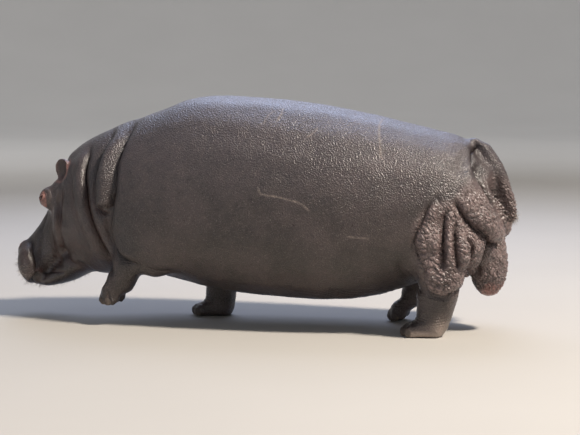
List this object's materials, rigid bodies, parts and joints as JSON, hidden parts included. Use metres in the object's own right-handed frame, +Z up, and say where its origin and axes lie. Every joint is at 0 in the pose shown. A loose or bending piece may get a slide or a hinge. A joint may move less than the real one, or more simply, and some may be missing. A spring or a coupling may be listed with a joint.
{
  "type": "hippopotamus",
  "caption": "Life-size still model of an adult hippopotamus walking with its head lowered, standing free on its own feet.",
  "frame": {"origin": "on the floor, in the middle of the box round the animal", "axes": "+Z up; the head points to -X and the animal's left side faces -Y"},
  "size_m": [3.1886, 1.0612, 1.4198],
  "materials": {
    "hide": "wet, grained and wrinkled hide, dark grey-brown with pink in the folds, semi-gloss",
    "nail": "dull ridged nail, dark brown, paler at the worn edge",
    "eye": "wet dark brown eye, high gloss"
  },
  "bodies": {
    "root": {"head": "hide", "lower_jaw": "hide", "neck": "hide", "trunk": "hide", "tail": "hide", "ear_left": "hide", "ear_right": "hide", "foreleg_left": "hide", "foreleg_right": "hide", "hindleg_left": "hide", "hindleg_right": "hide", "forefoot_left": "hide", "forefoot_right": "hide", "hindfoot_left": "hide", "hindfoot_right": "hide", "foreleg_left_nail_1": "nail", "foreleg_left_nail_2": "nail", "foreleg_left_nail_3": "nail", "foreleg_left_nail_4": "nail", "foreleg_right_nail_1": "nail", "foreleg_right_nail_2": "nail", "foreleg_right_nail_3": "nail", "foreleg_right_nail_4": "nail", "hindleg_left_nail_1": "nail", "hindleg_left_nail_2": "nail", "hindleg_left_nail_3": "nail", "hindleg_left_nail_4": "nail", "hindleg_right_nail_1": "nail", "hindleg_right_nail_2": "nail", "hindleg_right_nail_3": "nail", "hindleg_right_nail_4": "nail", "eye_left": "eye", "eye_right": "eye"}
  },
  "joints": []
}
